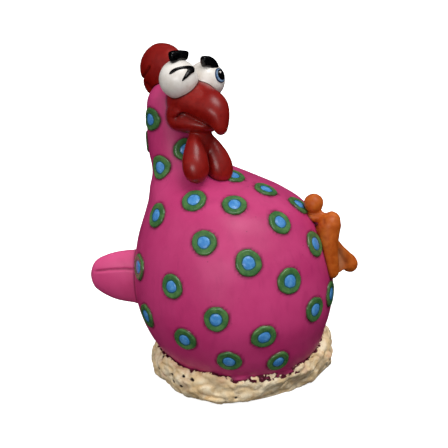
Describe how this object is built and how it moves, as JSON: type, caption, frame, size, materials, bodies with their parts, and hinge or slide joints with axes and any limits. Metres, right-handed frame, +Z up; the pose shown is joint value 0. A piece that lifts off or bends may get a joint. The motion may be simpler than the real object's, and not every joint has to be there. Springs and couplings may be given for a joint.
{
  "type": "novelty chicken figurine",
  "caption": "Fat spotted novelty hen that winks, cast hollow and glued into a rough nest, with applied comb, beak, wattles, wings and a raised foot, and a rubber stopper below.",
  "frame": {"origin": "on the floor, under the middle of the bounding box", "axes": "+Z up; -Y is the side with the wink, the beak and most of the breast; +X is the side with the raised foot"},
  "size_m": [0.1452, 0.1348, 0.1794],
  "materials": {
    "body_pink": "satin",
    "nest_cream": "matte",
    "stopper_rubber": "matte",
    "head_red": "satin",
    "eye_white": "satin",
    "mark_black": "gloss",
    "iris_blue": "gloss",
    "foot_orange": "satin",
    "spot_green": "satin"
  },
  "bodies": {
    "chicken": {"body_shell": "body_pink", "wing_right": "body_pink", "wing_left": "body_pink", "nest_base": "nest_cream", "comb": "head_red", "beak_upper": "head_red", "beak_lower": "head_red", "wattle_right": "head_red", "wattle_left": "head_red", "eyeball_right": "eye_white", "eyeball_left": "eye_white", "eyebrow_right": "mark_black", "eyebrow_left": "mark_black", "wink_mark": "mark_black", "pupil": "mark_black", "iris": "iris_blue", "foot": "foot_orange", "spot_01": "spot_green", "spot_02": "spot_green", "spot_03": "spot_green", "spot_04": "spot_green", "spot_05": "spot_green", "spot_06": "spot_green", "spot_07": "spot_green", "spot_08": "spot_green", "spot_09": "spot_green", "spot_10": "spot_green", "spot_11": "spot_green", "spot_12": "spot_green", "spot_13": "spot_green", "spot_14": "spot_green", "spot_15": "spot_green", "spot_16": "spot_green", "spot_17": "spot_green", "spot_18": "spot_green", "spot_19": "spot_green", "spot_20": "spot_green", "spot_21": "spot_green", "spot_22": "spot_green", "spot_23": "spot_green", "spot_24": "spot_green", "spot_25": "spot_green", "spot_26": "spot_green", "spot_27": "spot_green", "spot_28": "spot_green", "spot_29": "spot_green", "spot_30": "spot_green", "spot_31": "spot_green", "spot_32": "spot_green", "spot_33": "spot_green", "spot_34": "spot_green", "spot_35": "spot_green", "spot_36": "spot_green", "spot_37": "spot_green", "spot_38": "spot_green"},
    "stopper": {"stopper": "stopper_rubber"}
  },
  "joints": [
    {"name": "stopper_pull", "type": "slide", "parent": "chicken", "child": "stopper", "axis": [0, 0, -1], "range_m": [0, 0.016]}
  ]
}
